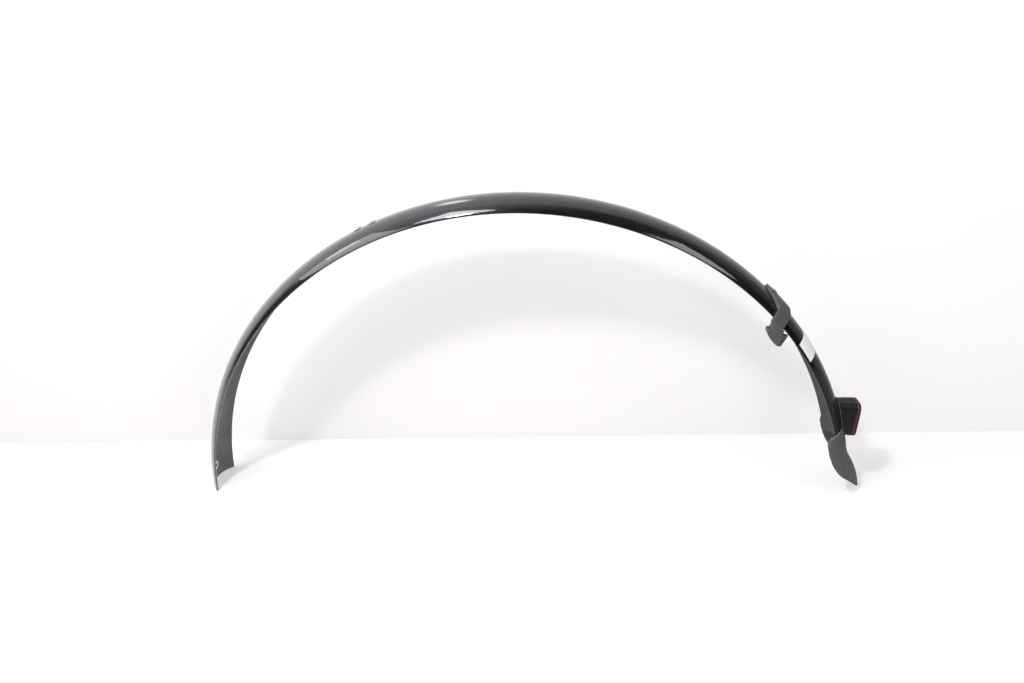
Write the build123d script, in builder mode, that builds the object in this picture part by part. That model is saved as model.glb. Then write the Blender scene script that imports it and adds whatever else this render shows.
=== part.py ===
from build123d import *
import os
from math import acos, asin, cos, degrees, radians, sin, sqrt, tan

# Rear mudguard for a 28-inch bicycle wheel, in millimetres and degrees.
# X points to the rear of the bicycle, Y along the wheel axle, Z up. The guard stands on the
# floor, Z = 0, on its front end and on the tip of its flap, and the axle lies under the floor.
# Angles are taken round the axle, from straight back upwards.

# Blade
edge_radius = 350.0          # axle to the blade's side edges
blade_width = 48.0
blade_depth = 13.5           # side edges to the crown
blade_wall = 1.8
axle_drop = 26.0             # floor to the axle below it

# Front eyelet
eyelet_setback = 18.0        # along the blade from its front end
eyelet_bore_radius = 2.7
eyelet_wall = 0.6
eyelet_flange_radius = 5.2
eyelet_flange = 0.8

# Bridge plate and its rivets
bridge_angle = 113.4
bridge_plate_length = 30.0
bridge_plate_width = 15.0
bridge_plate_thickness = 2.0
bridge_rivet_spacing = 16.6
bridge_thread_radius = 2.1
bridge_boss_radius = 4.5
bridge_boss_height = 3.0
bridge_bolt_hole_radius = 2.75
bridge_rivet_dome = 2.0

# Rivets
rivet_radius = 1.6
rivet_head_radius = 4.0
rivet_head_rim = 0.4
rivet_flat_dome = 0.9
rivet_tail_radius = 2.8
rivet_tail_height = 1.2

# Stay bracket: a strap round the section, a tongue up the crown and a hooked lug
bracket_angle = 41.3         # rear edge of the strap
strap_width = 16.0
strap_thickness = 3.2
strap_overhang = 3.4         # how far its ends reach past the blade's side edges
hook_length = 3.0            # how far its far end turns in under the blade's edge
tongue_length = 17.5
tongue_width = 36.0
tongue_tip_width = 12.0
tongue_tip_round = 5.0
tongue_rivet_setback = 9.0   # rivet's distance from the strap
lug_face = 29.5              # middle plane to the lug's outer face
lug_inner_face = 21.0        # middle plane to the lug's inner face
lug_clearance = 0.3          # lug to the blade's edge above it
lug_arm_front = 14.5         # the arm at the blade's edge, ahead of the bracket angle
lug_arm_rear = 2.0           # and behind it
lug_neck_front = 8.0         # front side of the lug, ahead of the bracket angle
lug_neck_drop = 8.0          # blade's edge to the neck
lug_nib_length = 2.0
lug_nib_height = 2.6
lug_reach = 15.2             # blade's edge to the lug's lower side
lug_heel = 9.0               # rear end of the flat lower side, behind the bracket angle
lug_rear = 16.6              # rear corner, behind the bracket angle
lug_rear_rise = 2.4
lug_toe = 11.6               # toe under the blade's edge, behind the bracket angle
lug_notch = 5.4              # open notch between the arm and the toe
lug_notch_drop = 4.6
lug_bevel = 5.6              # width of the bevel along the lug's rear side
lug_bevel_depth = 5.0
stay_socket_radius = 1.8
stay_socket_depth = 8.5
stay_socket_behind = 4.0     # socket behind the bracket angle
stay_socket_side = 25.3      # middle plane to the socket

# Label
label_angle = 34.8
label_length = 24.5
label_edge_gap = 1.4         # blade's near edge to the label's, across the blade
label_far_side = 9.0         # middle plane to its far edge
label_thickness = 0.3

# Lamp
lamp_angle = 18.75
lamp_reach = 13.4            # crown to the housing's rim
lamp_tilt = 7.0              # fall of the lamp's axis towards the rear
lamp_top_width = 22.0
lamp_foot_width = 37.0
lamp_height = 36.0
lamp_top_round = 8.0
lamp_foot_round = 6.0
lamp_taper = 6.0             # lean of the housing's sides, which close in towards the blade
lamp_wall = 1.6
lens_thickness = 2.8
lens_round = 1.1
gasket_low_angle = 17.67     # gasket's lower edge
gasket_width = 43.0
gasket_round = 6.0
gasket_side = 4.8            # gasket's thickness at its sides
reflector_thickness = 1.0
led_window_width = 16.0
led_window_height = 7.0
led_window_rise = 6.0        # window's centre above the lamp's
led_funnel_wall = 0.8
led_funnel_depth = 3.0
board_border = 1.2           # board past the funnel on every side
board_thickness = 1.2
led_width = 3.5
led_height = 2.8
led_thickness = 1.9
led_spacing = 5.0
led_count = 3

# Lamp fastening and inlet
lamp_bolt_angle = 18.3
lamp_bolt_radius = 2.5
hex_flats = 8.0
lamp_bolt_head = 3.2
lamp_bolt_end = 1.0          # bolt past its nut
nut_height = 4.0
washer_radius = 5.0
washer_thickness = 1.0
grommet_angle = 20.2
grommet_radius = 3.0
grommet_bore_radius = 1.5
grommet_flange_radius = 4.5
grommet_flange = 1.2
grommet_lip = 1.0            # grommet past the housing's inner wall

# Mud flap
flap_gap = 2.0               # lamp gasket to the flap's lip
flap_overlap = 26.0          # flap over the blade's rear end
flap_wall = 1.8
flap_near_skirt = 10.0       # how far its near side reaches past the blade's edge
flap_far_skirt = 3.0         # and its far side
flap_kick_radius = 60.0      # outward curve of the crown below the blade
flap_kick_angle = 20.0
flap_curl_radius = 90.0      # curve back to the tip
flap_curl_angle = 45.0
flap_side_lean = 25.4        # lean of the sides where they close in to the tip
flap_corner_round = 16.0
flap_tip_flat = 1.0          # straight stretch between the tip's two rounds
flap_tip_round = 15.0
flap_end_room = 2.0          # blade's end to the start of the outward curve
flap_rivet_setback = 18.5    # lip to the rivet

# Fits
fit_gap = 0.1                # radial gap of a fastener in its hole
seat_gap = 0.03              # gap under a flat fastener on a hollow face
lamp_flap_gap = 0.3          # lamp housing to the flap that passes under it

# Section of the blade: an arc with rounded edges, round the point arc_centre from the axle
half_wall = blade_wall / 2
middle_half_width = blade_width / 2 - half_wall
middle_depth = blade_depth - blade_wall
middle_arc = (middle_half_width**2 + middle_depth**2) / (2 * middle_depth)
outer_arc = middle_arc + half_wall
inner_arc = middle_arc - half_wall
crown_radius = edge_radius + blade_depth
inner_crown_radius = crown_radius - blade_wall
arc_centre = crown_radius - outer_arc
edge_turn = degrees(asin(middle_half_width / middle_arc))
front_angle = 180 - degrees(asin(axle_drop / edge_radius))


def swing(length, radius=crown_radius):
    """Angle round the axle that an arc of this length takes."""
    return degrees(length / radius)


# Places round the axle that follow from the lengths
flap_lip_angle = gasket_low_angle - swing(flap_gap)
blade_end_angle = flap_lip_angle - swing(flap_overlap)
flap_kick_start = blade_end_angle - swing(flap_end_room)
flap_rivet_angle = flap_lip_angle - swing(flap_rivet_setback)
eyelet_angle = front_angle - swing(eyelet_setback)
bridge_rivet_angles = [
    bridge_angle + swing(bridge_rivet_spacing) / 2,
    bridge_angle - swing(bridge_rivet_spacing) / 2,
]
strap_front_angle = bracket_angle + swing(strap_width)
tongue_tip_angle = strap_front_angle + swing(tongue_length)
bracket_rivet_angle = strap_front_angle + swing(tongue_rivet_setback)

# Centres of the flap's two curves, and the length of the whole guard, all from the axle
flap_crown_radius = crown_radius + flap_wall
kick_reach = flap_crown_radius + flap_kick_radius
kick_x = kick_reach * cos(radians(flap_kick_start))
kick_z = kick_reach * sin(radians(flap_kick_start))
flap_curl_start = flap_kick_start + flap_kick_angle
curl_reach = flap_kick_radius + flap_curl_radius
curl_x = kick_x - curl_reach * cos(radians(flap_curl_start))
curl_z = kick_z - curl_reach * sin(radians(flap_curl_start))
tip_x = curl_x + sqrt(flap_curl_radius**2 - (curl_z - axle_drop)**2)
front_x = crown_radius * cos(radians(front_angle))

# The origin is on the floor below the middle of the guard
axle_x = -(tip_x + front_x) / 2
axle = Axis((axle_x, 0, -axle_drop), (0, 1, 0))
kick_axis = Axis((axle_x + kick_x, 0, kick_z - axle_drop), (0, 1, 0))
curl_axis = Axis((axle_x + curl_x, 0, curl_z - axle_drop), (0, 1, 0))


def around(angle, radius):
    """Point in the middle plane at an angle round the axle and a distance from it."""
    turn = radians(angle)
    return Vector(axle_x + radius * cos(turn), 0, radius * sin(turn) - axle_drop)


def spoke(angle):
    """Direction away from the axle."""
    return Vector(cos(radians(angle)), 0, sin(radians(angle)))


def section_plane(angle):
    """Plane through the axle: local x along Y, local y away from the axle."""
    rearward = Vector(sin(radians(angle)), 0, -cos(radians(angle)))
    return Plane(around(angle, 0), x_dir=(0, 1, 0), z_dir=rearward)


def seat_plane(angle, radius):
    """Plane across a spoke that faces away from the axle: local x forward round the axle."""
    forward = (-sin(radians(angle)), 0, cos(radians(angle)))
    return Plane(around(angle, radius), x_dir=forward, z_dir=spoke(angle))


def side_plane(side):
    """Plane across Y with the axle at its origin: local x along X, local y along Z."""
    return Plane((axle_x, side, -axle_drop), x_dir=(1, 0, 0), z_dir=(0, -1, 0))


def sag(reach, arc):
    """Depth of an arc at a distance from its middle."""
    return arc - sqrt(arc**2 - reach**2)


def strip(inner, thickness, near_turn, far_turn):
    """Strip with rounded ends that follows the arc of the section."""
    span = near_turn + far_turn
    with BuildSketch() as profile:
        with BuildLine():
            lower = CenterArc((0, arc_centre), inner, 90 - far_turn, span)
            upper = CenterArc((0, arc_centre), inner + thickness, 90 - far_turn, span)
            TangentArc(upper @ 0, lower @ 0, tangent=-(upper % 0))
            TangentArc(upper @ 1, lower @ 1, tangent=upper % 1)
        make_face()
    return profile.sketch


def skirt_turn(inner, thickness, overhang):
    """Half angle of a strip whose ends reach past the blade's edges."""
    end = edge_radius - overhang + thickness / 2 - arc_centre
    return degrees(acos(end / (inner + thickness / 2)))


def rivet(angle, inside, outside, dome):
    """Rivet on the middle line that grips from one distance from the axle to another."""
    top = outside + dome
    rim = outside + rivet_head_rim
    end = inside - rivet_tail_height
    with BuildPart() as piece:
        with BuildSketch(section_plane(angle)):
            with BuildLine():
                Polyline(
                    (0, top),
                    (0, end),
                    (rivet_tail_radius, end),
                    (rivet_tail_radius, inside),
                    (rivet_radius, inside),
                    (rivet_radius, outside),
                    (rivet_head_radius, outside),
                    (rivet_head_radius, rim),
                )
                TangentArc((0, top), (rivet_head_radius, rim), tangent=(1, 0))
            make_face()
        revolve(axis=Axis(around(angle, 0), spoke(angle)))
    return piece.part


def drills(holes):
    """Cylinders along the spokes, out through the blade and what lies on it."""
    reach = outer_arc + blade_depth / 2
    with BuildPart() as tools:
        for angle, radius in holes:
            with Locations(seat_plane(angle, arc_centre)):
                Cylinder(radius, reach, align=(Align.CENTER, Align.CENTER, Align.MIN))
    return tools.part


os.makedirs("parts", exist_ok=True)

# Holes in the middle line, as angle and radius
bridge_rivet_holes = [(angle, rivet_radius + fit_gap) for angle in bridge_rivet_angles]
bracket_rivet_hole = (bracket_rivet_angle, rivet_radius + fit_gap)
flap_rivet_hole = (flap_rivet_angle, rivet_radius + fit_gap)
lamp_holes = [
    (lamp_bolt_angle, lamp_bolt_radius + fit_gap),
    (grommet_angle, grommet_radius + fit_gap),
]
frame_holes = [
    (eyelet_angle, eyelet_bore_radius + eyelet_wall + fit_gap),
    (bridge_angle, bridge_bolt_hole_radius),
]

# Blade, with the holes of all that is fastened to it
with BuildPart() as blade:
    with BuildSketch(section_plane(front_angle)):
        add(strip(inner_arc, blade_wall, edge_turn, edge_turn))
    revolve(axis=axle, revolution_arc=front_angle - blade_end_angle)
    add(
        drills([*frame_holes, *bridge_rivet_holes, bracket_rivet_hole, *lamp_holes, flap_rivet_hole]),
        mode=Mode.SUBTRACT,
    )
blade.part.label = "blade"
export_step(blade.part, "parts/blade.step")

# Front eyelet, rolled over on both faces of the blade
eyelet_tube_radius = eyelet_bore_radius + eyelet_wall
eyelet_inside = inner_crown_radius - sag(eyelet_flange_radius, inner_arc) - seat_gap
with BuildPart() as front_eyelet:
    with BuildSketch(seat_plane(eyelet_angle, eyelet_inside - eyelet_flange)):
        Circle(eyelet_flange_radius)
    extrude(amount=eyelet_flange)
    with BuildSketch(seat_plane(eyelet_angle, crown_radius)):
        Circle(eyelet_flange_radius)
    extrude(amount=eyelet_flange)
    with BuildSketch(seat_plane(eyelet_angle, eyelet_inside)):
        Circle(eyelet_tube_radius)
    extrude(amount=crown_radius - eyelet_inside)
    with Locations(seat_plane(eyelet_angle, crown_radius)):
        Hole(eyelet_bore_radius)
front_eyelet.part.label = "front_eyelet"
export_step(front_eyelet.part, "parts/front_eyelet.step")

# Bridge plate inside the crown, with a threaded boss
plate_arc = inner_arc - bridge_plate_thickness
plate_radius = inner_crown_radius - bridge_plate_thickness
plate_half = swing(bridge_plate_length) / 2
plate_turn = degrees(asin(bridge_plate_width / 2 / inner_arc))
with BuildPart() as bridge_plate:
    with BuildSketch(section_plane(bridge_angle + plate_half)):
        add(strip(plate_arc, bridge_plate_thickness, plate_turn, plate_turn))
    revolve(axis=axle, revolution_arc=2 * plate_half)
    with BuildSketch(seat_plane(bridge_angle, plate_radius - bridge_boss_height)):
        Circle(bridge_boss_radius)
    extrude(until=Until.NEXT)
    add(drills([(bridge_angle, bridge_thread_radius), *bridge_rivet_holes]), mode=Mode.SUBTRACT)
bridge_plate.part.label = "bridge_plate"
export_step(bridge_plate.part, "parts/bridge_plate.step")

bridge_rivet_inside = plate_radius - sag(rivet_tail_radius, plate_arc) - seat_gap
with BuildPart() as bridge_rivets:
    for angle in bridge_rivet_angles:
        add(rivet(angle, bridge_rivet_inside, crown_radius, bridge_rivet_dome))
bridge_rivets.part.label = "bridge_rivets"
export_step(bridge_rivets.part, "parts/bridge_rivets.step")


def lug_point(behind, drop):
    """Point of the lug's outline: behind the bracket angle, and in from the blade's edge."""
    turn = radians(bracket_angle)
    radius = edge_radius - drop
    return (radius * cos(turn) + behind * sin(turn), radius * sin(turn) - behind * cos(turn))


# Tongue of the stay bracket, which narrows up the crown
with BuildPart() as tongue:
    with BuildSketch(section_plane(tongue_tip_angle)):
        add(strip(outer_arc, strap_thickness, edge_turn, edge_turn))
    revolve(axis=axle, revolution_arc=tongue_tip_angle - bracket_angle)
    with BuildSketch(seat_plane(strap_front_angle, crown_radius)):
        with BuildLine():
            Polyline(
                (-strap_width / 2, -tongue_width / 2),
                (0, -tongue_width / 2),
                (tongue_length, -tongue_tip_width / 2),
                (tongue_length, tongue_tip_width / 2),
                (0, tongue_width / 2),
                (-strap_width / 2, tongue_width / 2),
                close=True,
            )
        make_face()
        fillet(vertices().group_by(Axis.X)[-1], tongue_tip_round)
    extrude(amount=blade_depth, both=True, mode=Mode.INTERSECT)

# Hooked lug at the blade's near edge, with a bevel at its rear and a socket for the stay's end
lug_rear_drop = lug_reach - lug_rear_rise
lug_outline = [
    lug_point(-lug_arm_front, 0),
    lug_point(-lug_neck_front, lug_neck_drop),
    lug_point(-lug_neck_front - lug_nib_length, lug_neck_drop + lug_nib_height),
    lug_point(-lug_neck_front, lug_neck_drop + 2 * lug_nib_height),
    lug_point(0, lug_reach),
    lug_point(lug_heel, lug_reach),
    lug_point(lug_rear, lug_rear_drop),
    lug_point(lug_toe, lug_clearance),
    lug_point(lug_notch, lug_notch_drop),
    lug_point(lug_arm_rear, 0),
]
hook_top = edge_radius - lug_clearance
bevel_place = lug_point((lug_rear + lug_toe) / 2, (lug_rear_drop + lug_clearance) / 2)
socket_mouth = side_plane(-stay_socket_side).from_local_coords(lug_point(stay_socket_behind, lug_reach))
with BuildPart() as lug:
    with BuildSketch(side_plane(-lug_inner_face)):
        with BuildLine():
            Polyline(lug_outline, close=True)
        make_face()
    extrude(amount=lug_face - lug_inner_face)
    lug_front = faces().sort_by(Axis.Y)[0]
    bevel_edge = lug_front.edges().sort_by_distance(side_plane(-lug_face).from_local_coords(bevel_place))[0]
    chamfer(bevel_edge, lug_bevel, lug_bevel_depth, reference=lug_front)
    with BuildSketch(side_plane(-lug_inner_face)):
        Circle(crown_radius)
        Circle(hook_top, mode=Mode.SUBTRACT)
    extrude(amount=blade_width / 2 + lug_clearance - lug_inner_face, mode=Mode.SUBTRACT)
    with Locations(Plane(socket_mouth, x_dir=(0, 1, 0), z_dir=spoke(bracket_angle))):
        Hole(stay_socket_radius, depth=stay_socket_depth)

# Stay bracket: the strap with its far hook, the tongue and the lug
strap_turn = skirt_turn(outer_arc, strap_thickness, strap_overhang)
strap_end = (outer_arc + strap_thickness / 2) * sin(radians(strap_turn))
with BuildPart() as stay_bracket:
    with BuildSketch(section_plane(strap_front_angle)):
        add(strip(outer_arc, strap_thickness, strap_turn, strap_turn))
        with Locations((strap_end, hook_top)):
            Rectangle(hook_length, strap_overhang - lug_clearance, align=(Align.MAX, Align.MAX))
    revolve(axis=axle, revolution_arc=strap_front_angle - bracket_angle)
    add(tongue.part)
    add(lug.part)
    add(drills([bracket_rivet_hole]), mode=Mode.SUBTRACT)
stay_bracket.part.label = "stay_bracket"
export_step(stay_bracket.part, "parts/stay_bracket.step")

bracket_rivet_inside = inner_crown_radius - sag(rivet_tail_radius, inner_arc) - seat_gap
with BuildPart() as bracket_rivet:
    add(rivet(bracket_rivet_angle, bracket_rivet_inside, crown_radius + strap_thickness, rivet_flat_dome))
bracket_rivet.part.label = "bracket_rivet"
export_step(bracket_rivet.part, "parts/bracket_rivet.step")

# Label, a film that lies on the near side of the blade and over its crown
label_near_turn = degrees(asin((blade_width / 2 - label_edge_gap) / outer_arc))
label_turn = label_near_turn + degrees(asin(label_far_side / outer_arc))
label_start = 90 + label_near_turn - label_turn
with BuildPart() as label:
    with BuildSketch(section_plane(label_angle + swing(label_length) / 2)):
        with BuildLine():
            lower = CenterArc((0, arc_centre), outer_arc, label_start, label_turn)
            upper = CenterArc((0, arc_centre), outer_arc + label_thickness, label_start, label_turn)
            Line(lower @ 0, upper @ 0)
            Line(lower @ 1, upper @ 1)
        make_face()
    revolve(axis=axle, revolution_arc=swing(label_length))
label.part.label = "label"
export_step(label.part, "parts/label.step")

# Seat of the lamp: the gasket fills the space between the blade's arc and a flatter one
gasket_crown = flap_wall + lamp_flap_gap
gasket_half = gasket_width / 2
gasket_foot_radius = arc_centre + sqrt(outer_arc**2 - gasket_half**2)
gasket_side_radius = gasket_foot_radius + gasket_side
lamp_seat_radius = crown_radius + gasket_crown
lamp_back = Vector(-cos(radians(lamp_tilt)), 0, sin(radians(lamp_tilt)))
lamp_root = lamp_reach + blade_width / 2
saddle_top_angle = lamp_angle + swing(lamp_height)
saddle_span = 2 * swing(lamp_height)


def lamp_plane(depth):
    """Plane of the lamp's rim, moved in towards the blade: local x along Y, local y upwards."""
    centre = around(lamp_angle, crown_radius) + lamp_back * (depth - lamp_reach)
    return Plane(centre, x_dir=(0, 1, 0), z_dir=-lamp_back)


def lamp_outline(inset):
    """Rear outline of the lamp, with round shoulders and a wider foot."""
    with BuildSketch() as profile:
        with BuildLine():
            Polyline(
                (-lamp_foot_width / 2, -lamp_height / 2),
                (lamp_foot_width / 2, -lamp_height / 2),
                (lamp_top_width / 2, lamp_height / 2),
                (-lamp_top_width / 2, lamp_height / 2),
                close=True,
            )
        make_face()
        fillet(vertices().group_by(Axis.Y)[-1], lamp_top_round)
        fillet(vertices().group_by(Axis.Y)[0], lamp_foot_round)
        offset(amount=-inset, mode=Mode.REPLACE)
    return profile.sketch


def saddle(lift):
    """Space under the lamp's seat, raised by lift."""
    side = gasket_side_radius + lift
    with BuildSketch() as profile:
        with BuildLine():
            ThreePointArc((-gasket_half, side), (0, lamp_seat_radius + lift), (gasket_half, side))
            Polyline(
                (-gasket_half, side),
                (-gasket_half, arc_centre / 2),
                (gasket_half, arc_centre / 2),
                (gasket_half, side),
            )
        make_face()
    return profile.sketch


with BuildPart() as lamp_gasket:
    with BuildSketch(section_plane(saddle_top_angle)):
        add(saddle(0))
        with Locations((0, arc_centre)):
            Circle(outer_arc, mode=Mode.SUBTRACT)
        with Locations((0, gasket_foot_radius)):
            Rectangle(gasket_width, blade_depth, align=(Align.CENTER, Align.MIN), mode=Mode.INTERSECT)
    revolve(axis=axle, revolution_arc=saddle_top_angle - gasket_low_angle)
    with BuildSketch(lamp_plane(0)):
        Rectangle(gasket_width, lamp_height)
        fillet(vertices(), gasket_round)
    extrude(amount=lamp_root, dir=lamp_back, mode=Mode.INTERSECT)
    add(drills(lamp_holes), mode=Mode.SUBTRACT)
lamp_gasket.part.label = "lamp_gasket"
export_step(lamp_gasket.part, "parts/lamp_gasket.step")

# Lamp housing: an open box with an even wall that sits on the gasket
with BuildPart() as lamp_cavity:
    with BuildSketch(lamp_plane(0)):
        add(lamp_outline(lamp_wall))
    extrude(amount=lamp_root, dir=lamp_back, taper=lamp_taper)
    with BuildSketch(section_plane(saddle_top_angle)):
        add(saddle(lamp_wall))
    revolve(axis=axle, revolution_arc=saddle_span, mode=Mode.SUBTRACT)

with BuildPart() as lamp_housing:
    with BuildSketch(lamp_plane(0)):
        add(lamp_outline(0))
    extrude(amount=lamp_root, dir=lamp_back, taper=lamp_taper)
    with BuildSketch(section_plane(saddle_top_angle)):
        add(saddle(0))
    revolve(axis=axle, revolution_arc=saddle_span, mode=Mode.SUBTRACT)
    add(lamp_cavity.part, mode=Mode.SUBTRACT)
    add(drills(lamp_holes), mode=Mode.SUBTRACT)
lamp_housing.part.label = "lamp_housing"
export_step(lamp_housing.part, "parts/lamp_housing.step")

# Lens on the housing's rim
with BuildPart() as lamp_lens:
    with BuildSketch(lamp_plane(0)):
        add(lamp_outline(0))
    extrude(amount=lens_thickness)
    fillet(faces().sort_by(Axis.X)[-1].edges(), lens_round)
lamp_lens.part.label = "lamp_lens"
export_step(lamp_lens.part, "parts/lamp_lens.step")

# Reflector tray behind the lens, with a funnel back to the board
funnel_width = led_window_width + 2 * led_funnel_wall
funnel_height = led_window_height + 2 * led_funnel_wall
board_depth = reflector_thickness + led_funnel_depth
with BuildPart() as lamp_reflector:
    with BuildSketch(lamp_plane(0)):
        add(lamp_outline(lamp_wall + fit_gap))
    extrude(amount=reflector_thickness, dir=lamp_back, taper=lamp_taper)
    with BuildSketch(lamp_plane(0)):
        with Locations((0, led_window_rise)):
            Rectangle(funnel_width, funnel_height)
    extrude(amount=board_depth, dir=lamp_back)
    with BuildSketch(lamp_plane(0)):
        with Locations((0, led_window_rise)):
            Rectangle(led_window_width, led_window_height)
    extrude(amount=board_depth, dir=lamp_back, mode=Mode.SUBTRACT)
    with BuildSketch(section_plane(saddle_top_angle)):
        add(saddle(lamp_wall + fit_gap))
    revolve(axis=axle, revolution_arc=saddle_span, mode=Mode.SUBTRACT)
lamp_reflector.part.label = "lamp_reflector"
export_step(lamp_reflector.part, "parts/lamp_reflector.step")

with BuildPart() as lamp_board:
    with BuildSketch(lamp_plane(board_depth)):
        with Locations((0, led_window_rise)):
            Rectangle(funnel_width + 2 * board_border, funnel_height + 2 * board_border)
    extrude(amount=board_thickness, dir=lamp_back)
lamp_board.part.label = "lamp_board"
export_step(lamp_board.part, "parts/lamp_board.step")

with BuildPart() as lamp_leds:
    with BuildSketch(lamp_plane(board_depth)):
        with Locations((0, led_window_rise)):
            with GridLocations(led_spacing, led_height, led_count, 1):
                Rectangle(led_width, led_height)
    extrude(amount=led_thickness)
lamp_leds.part.label = "lamp_leds"
export_step(lamp_leds.part, "parts/lamp_leds.step")

# Bolt from inside the lamp through the blade, with its washer and nut
lamp_floor_radius = lamp_seat_radius + lamp_wall
washer_top_radius = inner_crown_radius - sag(washer_radius, inner_arc) - seat_gap
nut_top_radius = washer_top_radius - washer_thickness
bolt_end_radius = nut_top_radius - nut_height - lamp_bolt_end
with BuildPart() as lamp_bolt:
    with BuildSketch(seat_plane(lamp_bolt_angle, lamp_floor_radius)):
        RegularPolygon(hex_flats / 2, 6, major_radius=False)
    extrude(amount=lamp_bolt_head)
    with BuildSketch(seat_plane(lamp_bolt_angle, bolt_end_radius)):
        Circle(lamp_bolt_radius)
    extrude(amount=lamp_floor_radius - bolt_end_radius)
lamp_bolt.part.label = "lamp_bolt"
export_step(lamp_bolt.part, "parts/lamp_bolt.step")

with BuildPart() as lamp_washer:
    with BuildSketch(seat_plane(lamp_bolt_angle, nut_top_radius)):
        Circle(washer_radius)
        Circle(lamp_bolt_radius + fit_gap, mode=Mode.SUBTRACT)
    extrude(amount=washer_thickness)
lamp_washer.part.label = "lamp_washer"
export_step(lamp_washer.part, "parts/lamp_washer.step")

with BuildPart() as lamp_nut:
    with BuildSketch(seat_plane(lamp_bolt_angle, nut_top_radius)):
        RegularPolygon(hex_flats / 2, 6, major_radius=False)
        Circle(lamp_bolt_radius + seat_gap, mode=Mode.SUBTRACT)
    extrude(amount=-nut_height)
lamp_nut.part.label = "lamp_nut"
export_step(lamp_nut.part, "parts/lamp_nut.step")

# Grommet for the lamp's lead, through the blade, the gasket and the housing's wall
grommet_seat_radius = inner_crown_radius - sag(grommet_flange_radius, inner_arc) - seat_gap
grommet_end_radius = lamp_floor_radius + grommet_lip
with BuildPart() as lead_grommet:
    with BuildSketch(seat_plane(grommet_angle, grommet_seat_radius)):
        Circle(grommet_radius)
    extrude(amount=grommet_end_radius - grommet_seat_radius)
    with BuildSketch(seat_plane(grommet_angle, grommet_seat_radius)):
        Circle(grommet_flange_radius)
    extrude(amount=-grommet_flange)
    with Locations(seat_plane(grommet_angle, grommet_seat_radius)):
        Hole(grommet_bore_radius)
lead_grommet.part.label = "lead_grommet"
export_step(lead_grommet.part, "parts/lead_grommet.step")

# Mud flap: a sleeve over the blade's end that curves outwards to a rounded tip on the floor
flap_near_turn = skirt_turn(outer_arc, flap_wall, flap_near_skirt)
flap_far_turn = skirt_turn(outer_arc, flap_wall, flap_far_skirt)
flap_half = outer_arc + flap_wall
flap_tip_half = flap_tip_flat / 2 + flap_tip_round * tan(radians(90 - flap_side_lean) / 2)
flap_corner_height = (flap_half - flap_tip_half) / tan(radians(flap_side_lean))
curl_origin = kick_axis.position - spoke(flap_curl_start) * kick_reach
curl_plane = Plane(curl_origin, x_dir=(0, 1, 0), z_dir=section_plane(flap_curl_start).z_dir)
with BuildPart() as mud_flap:
    with BuildSketch(section_plane(flap_lip_angle)):
        add(strip(outer_arc, flap_wall, flap_near_turn, flap_far_turn))
    revolve(axis=axle, revolution_arc=flap_lip_angle - flap_kick_start)
    with BuildSketch(section_plane(flap_kick_start)):
        add(strip(outer_arc, flap_wall, flap_near_turn, flap_far_turn))
    revolve(axis=kick_axis, revolution_arc=-flap_kick_angle)
    with BuildSketch(curl_plane):
        add(strip(outer_arc, flap_wall, flap_near_turn, flap_far_turn))
    revolve(axis=curl_axis, revolution_arc=flap_curl_angle)
    with BuildSketch(Plane.YZ):
        with BuildLine():
            Polyline(
                (-flap_half, crown_radius),
                (-flap_half, flap_corner_height),
                (-flap_tip_half, 0),
                (flap_tip_half, 0),
                (flap_half, flap_corner_height),
                (flap_half, crown_radius),
                close=True,
            )
        make_face()
        fillet(vertices().group_by(Axis.Y)[1], flap_corner_round)
        fillet(vertices().group_by(Axis.Y)[0], flap_tip_round)
    extrude(amount=tip_x - front_x, mode=Mode.INTERSECT)
    add(drills([flap_rivet_hole]), mode=Mode.SUBTRACT)
mud_flap.part.label = "mud_flap"
export_step(mud_flap.part, "parts/mud_flap.step")

flap_rivet_inside = inner_crown_radius - sag(rivet_tail_radius, inner_arc) - seat_gap
with BuildPart() as flap_rivet:
    add(rivet(flap_rivet_angle, flap_rivet_inside, flap_crown_radius, rivet_flat_dome))
flap_rivet.part.label = "flap_rivet"
export_step(flap_rivet.part, "parts/flap_rivet.step")
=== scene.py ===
from math import acos, asin, atan2, ceil, cos, pi, radians, sin, sqrt, tan

import bmesh
import bpy
from bpy.props import FloatProperty, FloatVectorProperty, PointerProperty
from mathutils import Matrix, Vector


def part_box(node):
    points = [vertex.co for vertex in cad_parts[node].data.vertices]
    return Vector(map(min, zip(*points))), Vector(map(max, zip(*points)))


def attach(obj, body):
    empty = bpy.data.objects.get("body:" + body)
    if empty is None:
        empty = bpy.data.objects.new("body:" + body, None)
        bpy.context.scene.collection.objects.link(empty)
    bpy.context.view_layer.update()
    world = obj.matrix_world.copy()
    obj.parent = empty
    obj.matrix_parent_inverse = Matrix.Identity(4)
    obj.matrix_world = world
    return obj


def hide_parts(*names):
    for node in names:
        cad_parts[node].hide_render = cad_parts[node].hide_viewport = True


bl_info = {
    "name": "Bicycle Mudguard",
    "version": (1, 0, 0),
    "blender": (4, 5, 0),
    "location": "View3D > Sidebar > Mudguard",
    "description": "Dresses the packed mudguard and sets it in front of a white wall",
    "category": "Add Mesh",
}

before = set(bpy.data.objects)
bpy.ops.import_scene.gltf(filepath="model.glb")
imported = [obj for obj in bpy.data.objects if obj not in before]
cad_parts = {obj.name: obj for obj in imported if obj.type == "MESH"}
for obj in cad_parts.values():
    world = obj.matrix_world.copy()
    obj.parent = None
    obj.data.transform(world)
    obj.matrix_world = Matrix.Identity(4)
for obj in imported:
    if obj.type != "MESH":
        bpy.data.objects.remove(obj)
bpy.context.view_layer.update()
blade_low, blade_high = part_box("blade")


# Settings


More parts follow.
